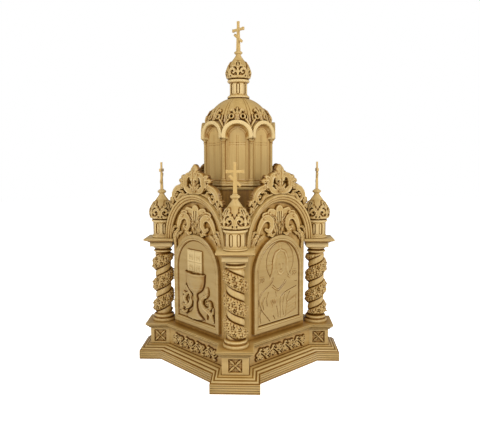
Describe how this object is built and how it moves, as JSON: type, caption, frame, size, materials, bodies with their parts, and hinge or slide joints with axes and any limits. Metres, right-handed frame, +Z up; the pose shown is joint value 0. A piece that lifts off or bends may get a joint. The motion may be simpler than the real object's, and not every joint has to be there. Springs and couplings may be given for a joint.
{
  "type": "altar tabernacle",
  "caption": "Carved wooden altar tabernacle shaped like a domed church, with twisted corner columns, onion-topped turrets and a hinged arched door to its chamber.",
  "frame": {"origin": "centre of the underside of the plinth", "axes": "+Z up through the dome's cross, -Y out through the hinged front door, +X out through the panel with the haloed figure"},
  "size_m": [0.465, 0.465, 0.9],
  "materials": {
    "wood": "satin, pale golden carved hardwood",
    "brass": "satin"
  },
  "bodies": {
    "case": {"plinth": "wood", "base_cornice": "wood", "pedestal_front_right": "wood", "pedestal_back_right": "wood", "pedestal_back_left": "wood", "pedestal_front_left": "wood", "frieze_front": "wood", "frieze_right": "wood", "frieze_back": "wood", "frieze_left": "wood", "column_front_right": "wood", "column_back_right": "wood", "column_back_left": "wood", "column_front_left": "wood", "cap_front_right": "wood", "cap_back_right": "wood", "cap_back_left": "wood", "cap_front_left": "wood", "post_front_right": "wood", "post_back_right": "wood", "post_back_left": "wood", "post_front_left": "wood", "wall_front": "wood", "wall_right": "wood", "wall_back": "wood", "wall_left": "wood", "panel_right": "wood", "panel_back": "wood", "panel_left": "wood", "hinge_lower": "brass", "hinge_upper": "brass", "tympanum_front": "wood", "tympanum_right": "wood", "tympanum_back": "wood", "tympanum_left": "wood", "crest_front": "wood", "crest_right": "wood", "crest_back": "wood", "crest_left": "wood", "roof": "wood", "drum_base": "wood", "drum": "wood", "dome": "wood", "lantern": "wood", "onion": "wood", "cross_top": "wood", "turret_front_right": "wood", "turret_back_right": "wood", "turret_back_left": "wood", "turret_front_left": "wood", "turret_onion_front_right": "wood", "turret_onion_back_right": "wood", "turret_onion_back_left": "wood", "turret_onion_front_left": "wood", "turret_cross_front_right": "wood", "turret_cross_back_right": "wood", "turret_cross_back_left": "wood", "turret_cross_front_left": "wood"},
    "door": {"door": "wood"}
  },
  "joints": [
    {"name": "door_hinge", "type": "hinge", "parent": "case", "child": "door", "pos_m": [-0.094, -0.15, 0.19], "axis": [0, 0, -1], "range_deg": [0, 90]}
  ]
}
